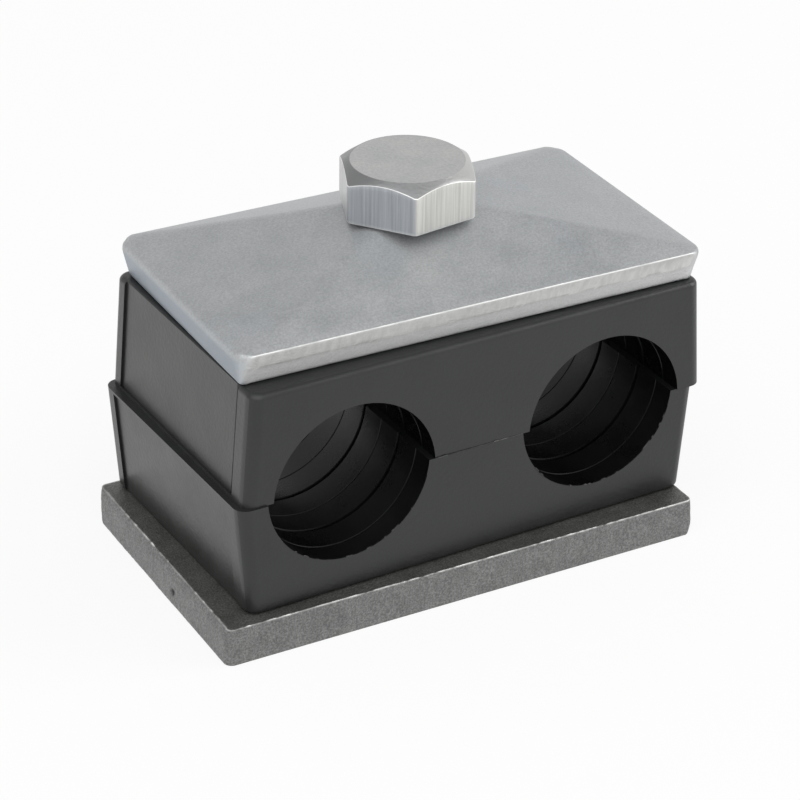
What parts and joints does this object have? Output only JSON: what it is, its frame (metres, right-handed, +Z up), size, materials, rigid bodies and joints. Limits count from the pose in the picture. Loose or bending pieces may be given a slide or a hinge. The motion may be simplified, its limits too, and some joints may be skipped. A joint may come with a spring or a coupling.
{
  "type": "twin hydraulic tube clamp",
  "caption": "Twin tube clamp: two moulded jaw halves between a weld plate and a pressed cover plate, drawn together by one hex bolt.",
  "frame": {"origin": "middle of the footprint, on the underside of the weld plate", "axes": "+X along the clamp from tube to tube, +Y along the tubes, +Z up along the bolt"},
  "size_m": [0.0565, 0.0335, 0.0415],
  "materials": {
    "weld_plate_steel": "raw sheared steel, dull",
    "boss_steel": "turned steel",
    "jaw_plastic": "satin black moulded polypropylene",
    "cover_zinc": "zinc plated, dull",
    "bolt_zinc": "zinc plated, satin"
  },
  "bodies": {
    "base": {"weld_plate": "weld_plate_steel", "nut_boss": "boss_steel", "lower_jaw": "jaw_plastic"},
    "lid": {"upper_jaw": "jaw_plastic", "cover_plate": "cover_zinc"},
    "bolt": {"hex_bolt": "bolt_zinc"}
  },
  "joints": [
    {"name": "clamp_lift", "type": "slide", "parent": "base", "child": "lid", "axis": [0, 0, 1], "range_m": [0, 0.0066]},
    {"name": "bolt_turn", "type": "hinge", "parent": "lid", "child": "bolt", "pos_m": [0.001, 0.001, 0.0364], "axis": [0, 0, 1], "range_deg": [0, 1901]}
  ],
  "couplings": [
    {"joint": "bolt_turn", "follows": "clamp_lift", "rad_per_m": 5026.5}
  ]
}
